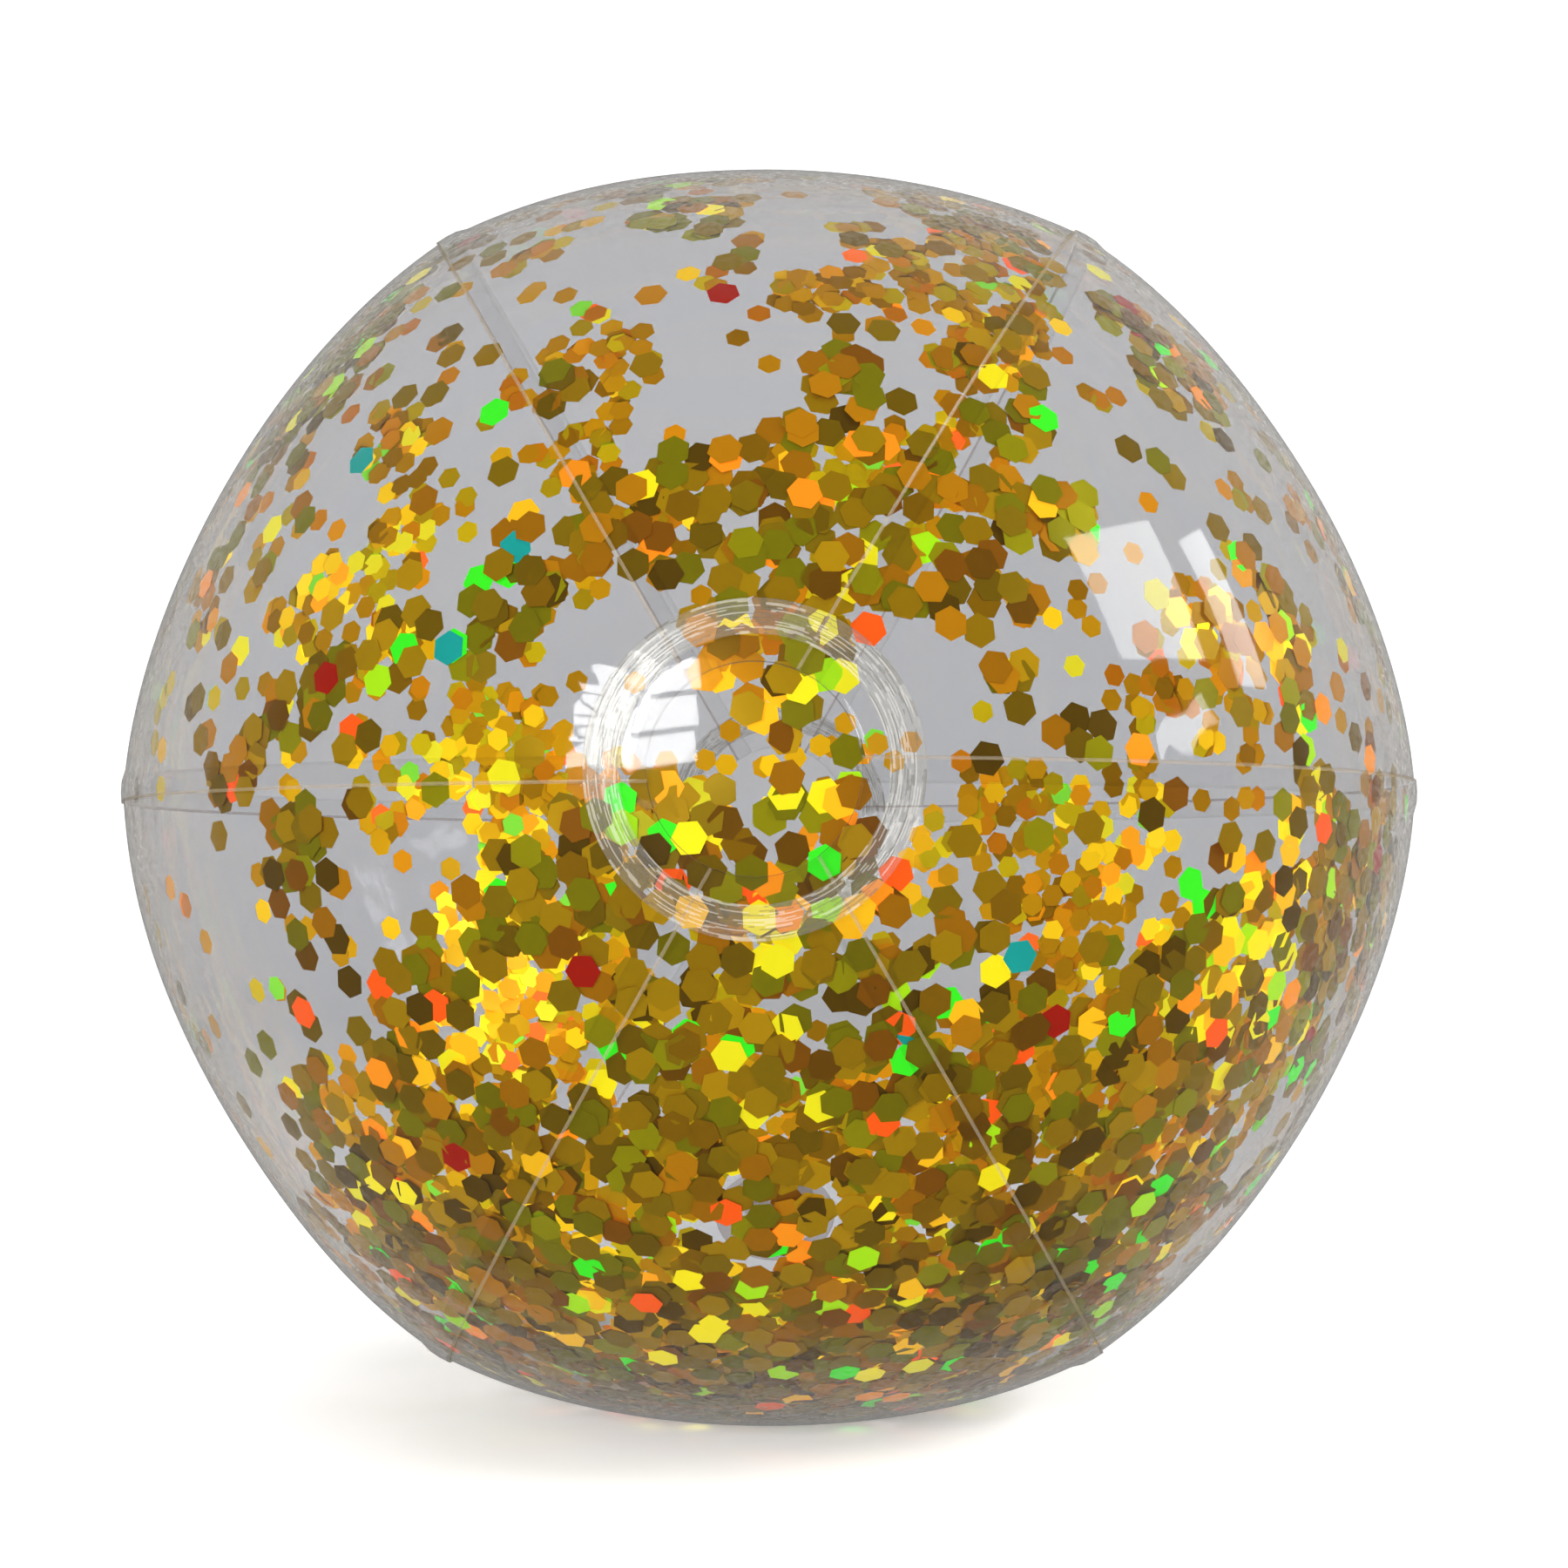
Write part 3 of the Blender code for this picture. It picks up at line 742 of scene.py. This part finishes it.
class Stack:
    """Keeps overlapping flakes apart: each new one lies on those already there."""

    def __init__(self, cell):
        self.cell = cell
        self.cells = {}

    def key(self, point):
        return tuple(int(math.floor(value / self.cell)) for value in point)

    def depth_at(self, point, first):
        x, y, z = self.key(point)
        depth = first
        for i in (x - 1, x, x + 1):
            for j in (y - 1, y, y + 1):
                for k in (z - 1, z, z + 1):
                    for other, low in self.cells.get((i, j, k), ()):
                        if (other - point).length < TOUCH:
                            depth = max(depth, low + LAYER)
        return depth

    def add(self, point, depth):
        self.cells.setdefault(self.key(point), []).append((point, depth))


def pick(shares, draw):
    """Chooses an index by its share."""
    target = draw.random() * sum(shares)
    for index, share in enumerate(shares):
        target -= share
        if target <= 0:
            return index
    return len(shares) - 1


def pick_colour(palette, painted_glint, draw):
    # Painted highlight: towards 1, colours are picked by their lit shares, the bright colours that stand in
    # for the window's light
    return pick([plain * (1 - painted_glint) + painted_lit * painted_glint for _, plain, painted_lit in palette], draw)


def pick_family(towards, draw):
    shares = family_shares(towards)
    return shares[pick([share for _, share in shares], draw)][0]


class FlakeBatch:
    """Collects the flakes of one family into one mesh: closed, thin, slightly curled hexagons."""

    def __init__(self, family):
        self.outward, self.inward = FAMILIES[family]
        self.points = []
        self.faces = []
        self.looks = []

    def add(self, centre, turn, painted_glint, draw):
        first = len(self.points)
        bend = draw.uniform(0, math.pi)
        curl = draw.uniform(-1, 1) * FLAKE_CURL
        for side in (0.5, -0.5):
            self.points.append(centre + turn @ Vector((0, 0, side * FLAKE_THICKNESS)))
            for i in range(6):
                angle = math.pi / 3 * i
                drop = curl * math.cos(angle - bend) ** 2
                corner = Vector((
                    FLAKE_CORNER * math.cos(angle), FLAKE_CORNER * math.sin(angle),
                    side * FLAKE_THICKNESS - drop,
                ))
                self.points.append(centre + turn @ corner)
        # Each side gets its own colour: the inner side's palette is painted brighter as painted light, and
        # painted highlights favour the bright colours
        outer = pick_colour(self.outward, painted_glint, draw)
        inner = len(self.outward) + pick_colour(self.inward, painted_glint, draw)
        for i in range(6):
            j = (i + 1) % 6
            self.faces.append((first, first + 1 + i, first + 1 + j))
            self.looks.append(outer)
            self.faces.append((first + 7, first + 8 + j, first + 8 + i))
            self.looks.append(inner)
            self.faces.append((first + 1 + i, first + 8 + i, first + 8 + j, first + 1 + j))
            self.looks.append(outer)

    def make(self, name, body, slot, looks):
        mesh = bpy.data.meshes.new(name)
        mesh.from_pydata(self.points, [], self.faces)
        mesh.polygons.foreach_set("material_index", self.looks)
        mesh.polygons.foreach_set("use_smooth", [True] * len(self.faces))
        mesh.set_sharp_from_angle(angle=math.radians(35))
        mesh.update()
        return add_piece(name, mesh, body, looks)


def family_looks(family):
    """One metallised material for each colour of each side; the brightest also glow a little, with a painted
    glow of emission for light the lamps don't give them.
    """
    outward, inward = FAMILIES[family]
    looks = []
    for side, palette, gain in (
        ("film_side", outward, FILM_SIDE_GAIN), ("inner_side", inward, INNER_SIDE_GAIN),
    ):
        for i, (colour, _, _) in enumerate(palette):
            tone = [value / gain for value in linear(*colour)]
            peak = max(1.0, *tone)
            # Painted glow: emission for the part of a colour's brightness that the lamps, through the film,
            # don't give it
            painted_glow = gain * (peak - 1) / FILM_TINT[0]
            base = [value / peak for value in tone]
            name = f"flake_{family}_{side}_{i + 1}"
            roughness = FLAKE_ROUGHNESS[i % len(FLAKE_ROUGHNESS)]
            looks.append(principled(name, base, roughness, FLAKE_METALLIC, painted_glow, FLAKE_SPECULAR))
    return looks


def flake_turn(normal, spin, tilt, lean):
    base = normal.to_track_quat("Z", "Y").to_matrix()
    tilted = base @ Matrix.Rotation(lean, 3, "Z") @ Matrix.Rotation(tilt, 3, "X")
    return tilted @ Matrix.Rotation(spin, 3, "Z")


def cling_flakes(batches):
    """Flakes that static holds on the inside of the film, thick in clumps and bare between them."""
    draw = random.Random(7)
    near, near_painted_glints = directions(NEAR_CLUMPS, -1), directions(NEAR_PAINTED_GLINTS, -1)
    far, far_painted_glints = directions(FAR_CLUMPS, 1), directions(FAR_PAINTED_GLINTS, 1)
    taken = [
        (low + high) / 2 for low, high in
        (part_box(name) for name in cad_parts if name.startswith("glitter_flake"))
    ]
    valve_low, valve_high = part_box("valve_flange")
    valve = (valve_low + valve_high) / 2
    stack = Stack(FLAKE_CORNER * 2)

    def cling(polar, azimuth, spin, lean, sway, family, painted_glint):
        """Adds a flake if there is room for it, and returns how many it added."""
        point = film_point(polar, azimuth, -FIRST_DEPTH)
        if any((point - other).length < FLAKE_CORNER * 2 for other in taken):
            return 0
        if (point - valve).length < FLANGE_RADIUS + FLAKE_CORNER:
            return 0
        depth = stack.depth_at(point, FIRST_DEPTH)
        if depth > FIRST_DEPTH + MOST_LAYERS * LAYER:
            return 0
        stack.add(point, depth)
        layers = (depth - FIRST_DEPTH) / LAYER
        tilt = math.radians((LEAST_TILT + TILT_PER_LAYER * min(layers, 4)) * sway)
        place = film_point(polar, azimuth, -depth)
        turn = flake_turn(film_normal(polar, azimuth), spin * math.pi, tilt, lean * 2 * math.pi)
        batches[family].add(place, turn, painted_glint, draw)
        return 1

    count = 0
    for _ in range(CLING_TRIES):
        height, azimuth = draw.uniform(-1, 1), draw.uniform(0, 2 * math.pi)
        spin, lean, sway, chance = draw.random(), draw.random(), draw.random(), draw.random()
        polar = math.acos(height)
        towards = film_normal(polar, azimuth)
        family = pick_family(towards, draw)
        if chance > flake_density(towards, far if height > 0 else near):
            continue
        # Painted highlight: flakes here lean to the bright colours that stand in for the window's light
        painted_glint = painted_glint_at(towards, far_painted_glints if height > 0 else near_painted_glints)
        count += cling(polar, azimuth, spin, lean, sway, family, painted_glint)
    for middle, spread, flakes in directions(PACKED, -1):
        for _ in range(flakes):
            aside = Vector((draw.gauss(0, spread), 0, draw.gauss(0, spread)))
            towards = (middle + aside).normalized()
            polar, azimuth = math.acos(towards.y), math.atan2(towards.z, towards.x)
            spin, lean, sway = draw.random(), draw.random(), draw.random()
            count += cling(polar, azimuth, spin, lean, sway, pick_family(towards, draw), PACKED_PAINTED_GLINT)
    print("clinging flakes", count)


def heap_flakes(batches):
    """Loose flakes that have slid to the bottom, in a thin dish that turns about the pole axis."""
    draw = random.Random(11)
    bottom = -math.pi / 2
    for _ in range(HEAP_FLAKES):
        arc = max(min(draw.gauss(0, HEAP_SPREAD), 1), -1)
        width = draw.uniform(-1, 1)
        deep, spin, lean, sway = draw.random(), draw.random(), draw.random(), draw.random()
        edge = (1 - arc * arc) * (1 - width * width)
        depth = HEAP_TOP_DEPTH + HEAP_DEPTH * deep * edge
        polar = math.pi / 2 + HEAP_HALF_WIDTH * width
        azimuth = bottom + HEAP_HALF_ARC * arc
        normal = film_normal(polar, azimuth)
        radius = (film_radius(polar, bottom) - depth) * math.sin(polar)
        place = CENTRE + Vector((
            radius * math.cos(azimuth), (POLE_RADIUS - depth) * math.cos(polar), radius * math.sin(azimuth),
        ))
        tilt = math.radians(HEAP_LEAST_TILT + HEAP_MORE_TILT * sway * deep)
        turn = flake_turn(normal, spin * math.pi, tilt, lean * 2 * math.pi)
        batches[pick_family(normal, draw)].add(place, turn, 0.0, draw)


def make_glitter():
    looks = {family: family_looks(family) for family in FAMILIES}
    for part, body, fill in (("clinging", "shell", cling_flakes), ("loose", "loose_glitter", heap_flakes)):
        batches = {family: FlakeBatch(family) for family in FAMILIES}
        fill(batches)
        for family, batch in batches.items():
            piece = batch.make(f"{part}_glitter_{family}", body, f"flake_{family}", looks[family])
            if part == "loose":
                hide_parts("glitter_heap")
    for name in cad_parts:
        if name.startswith("glitter_flake"):
            node = bpy.data.objects[name]
            family = node_family(node)
            low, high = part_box(name)
            # Flakes on the far half take an inner-side colour, painted brighter as painted light; those on
            # the near half take a darker film-side colour
            facing_away = (low + high).y > 0
            for slot in node.material_slots:
                slot.material = looks[family][len(FAMILIES[family][0]) + 1 if facing_away else 1]


def node_family(node):
    number = int(node.name.split("_")[-1]) - 1
    return ("gold", "amber", "lime", "olive")[number % 4]


# ---------------------------------------------------------------- stage

def make_stage():
    """A plain pale floor that curves up into a round wall."""
    radius, height, corner = 3.4, 2.6, 1.0
    profile = [(0.0, 0.0, 0)]
    profile += [(radius - corner, 0.0, 0)]
    for i in range(1, 13):
        angle = math.pi / 2 * i / 12
        profile.append((radius - corner + corner * math.sin(angle), corner - corner * math.cos(angle), 0))
    profile.append((radius, height, 0))
    shape = turned_mesh("studio_floor", profile, 96, False)
    shape.flip_normals()
    floor = bpy.data.objects.new("studio_floor", shape)
    bpy.context.scene.collection.objects.link(floor)
    shape.materials.append(principled("studio_white", (0.88, 0.88, 0.88), 0.9, emission=0.385))
    floor.location.z = -0.0002
    floor.visible_glossy = False


def area_light(name, towards, distance, width, height, power):
    data = bpy.data.lights.new(name, "AREA")
    data.shape = "RECTANGLE"
    data.size, data.size_y = width, height
    data.energy = power
    lamp = bpy.data.objects.new(name, data)
    bpy.context.scene.collection.objects.link(lamp)
    lamp.location = CENTRE + Vector(towards).normalized() * distance
    lamp.rotation_euler = (CENTRE - lamp.location).to_track_quat("-Z", "Y").to_euler()
    return lamp


def window(name, towards, distance, panes, radiance):
    """Area lights that stand for a window's panes: each pane is (across, above, wide, high, slant)."""
    facing = Vector(towards).normalized()
    side = facing.cross(Vector((0, 0, 1))).normalized()
    up = side.cross(facing).normalized()
    for i, (across, above, wide, high, slant) in enumerate(panes):
        place = facing * distance + side * across + up * above
        power = radiance * math.pi * wide * high
        lamp = area_light(f"{name}_{i}", place, place.length, wide, high, power)
        lamp.rotation_euler.rotate_axis("Z", math.radians(slant))


def make_lights():
    """A bright window on the right, one by the camera, and a broad soft light overhead."""
    window("right_window", (0.87, -0.19, 0.42), 1.6, [
        (0.24, 0.06, 0.54, 0.52, 0), (-0.31, -0.04, 0.22, 0.50, 0), (0.24, -0.46, 0.40, 0.12, 25),
    ], 15.5)
    window("front_window", (-0.312, -0.935, 0.172), 1.56, [
        (0.0, 0.145, 0.48, 0.12, 8), (0.0, 0.0, 0.48, 0.12, 8), (0.0, -0.145, 0.48, 0.12, 8),
    ], 30.0)
    overhead = area_light("overhead", (-0.1, -0.25, 1.0), 2.0, 1.6, 1.6, 29.0)
    overhead.visible_glossy = False


def make_world():
    world = bpy.data.worlds.new("studio_air")
    world.use_nodes = True
    world.node_tree.nodes["Background"].inputs["Color"].default_value = (0.25, 0.25, 0.25, 1)
    bpy.context.scene.world = world


def make_camera():
    data = bpy.data.cameras.new("camera")
    data.lens = FOCAL_LENGTH
    data.sensor_width = SENSOR
    camera = bpy.data.objects.new("camera", data)
    bpy.context.scene.collection.objects.link(camera)
    back = Vector((math.sin(CAMERA_RIGHT), -math.cos(CAMERA_RIGHT), 0)) * math.cos(CAMERA_DOWN)
    back.z = -math.sin(CAMERA_DOWN)
    camera.location = CENTRE + back * CAMERA_DISTANCE
    aim = CENTRE + Vector((AIM_RIGHT, 0, AIM_UP))
    camera.rotation_euler = (aim - camera.location).to_track_quat("-Z", "Y").to_euler()
    bpy.context.scene.camera = camera


# ---------------------------------------------------------------- build

def build():
    make_camera()
    inner = plain_clear("film_inner_face", (0.99, 0.99, 0.99))
    outer = film_material("film_outer_face", FILM_TINT, 0.0, 0.95, 0.05, (0.60, 0.585, 0.555), 0.6)
    edge = principled("film_cut_edge", (0.32, 0.30, 0.26), 0.3)
    weld = plain_clear("film_weld", (0.97, 0.97, 0.97))
    # Darker line along the weld's cut edge, with a warm haze that is a painted highlight of light bent
    # through the edge
    line = film_material("seam_line", (0.52, 0.50, 0.52), 0.22, 0.5, 0.3, (0.50, 0.42, 0.28))
    faint = plain_clear("faint_seam_line", (0.95, 0.95, 0.945))
    for number in range(GORES):
        make_gore(number, [inner, outer, edge, weld, weld, inner, line, faint, faint])
    disc = film_material("cap_disc", FILM_TINT, 0.0, 0.3, 0.04, (0.6, 0.6, 0.62))
    tips = film_material("cap_over_tips", (0.98, 0.98, 0.98), 0.0, 0.3, 0.04, (0.6, 0.6, 0.62))
    milky = film_material("weld_ring_milky", (0.96, 0.95, 0.91), 0.12, 0.4, 0.25, (0.38, 0.37, 0.33))
    dark = film_material("weld_ring_dark", (0.77, 0.75, 0.70), 0.30, 0.5, 0.25, (0.20, 0.19, 0.16))
    bright = film_material("weld_ring_bright", (1.0, 0.99, 0.95), 0.36, 0.6, 0.25, (0.50, 0.48, 0.43))
    looks = [inner, disc, tips, milky, dark, bright]
    make_end_cap("film_front_cap", "front_end_cap", math.pi / 2, looks)
    make_end_cap("film_rear_cap", "rear_end_cap", -math.pi / 2, looks)
    make_glitter()
    vinyl = film_material("valve_vinyl", (0.88, 0.88, 0.91), 0.30, 0.7, 0.12, (0.75, 0.75, 0.78))
    make_valve(vinyl)
    make_stage()
    make_lights()
    make_world()
    scene = bpy.context.scene
    scene.view_settings.view_transform = "Standard"
    scene.cycles.transparent_max_bounces = 40


build()
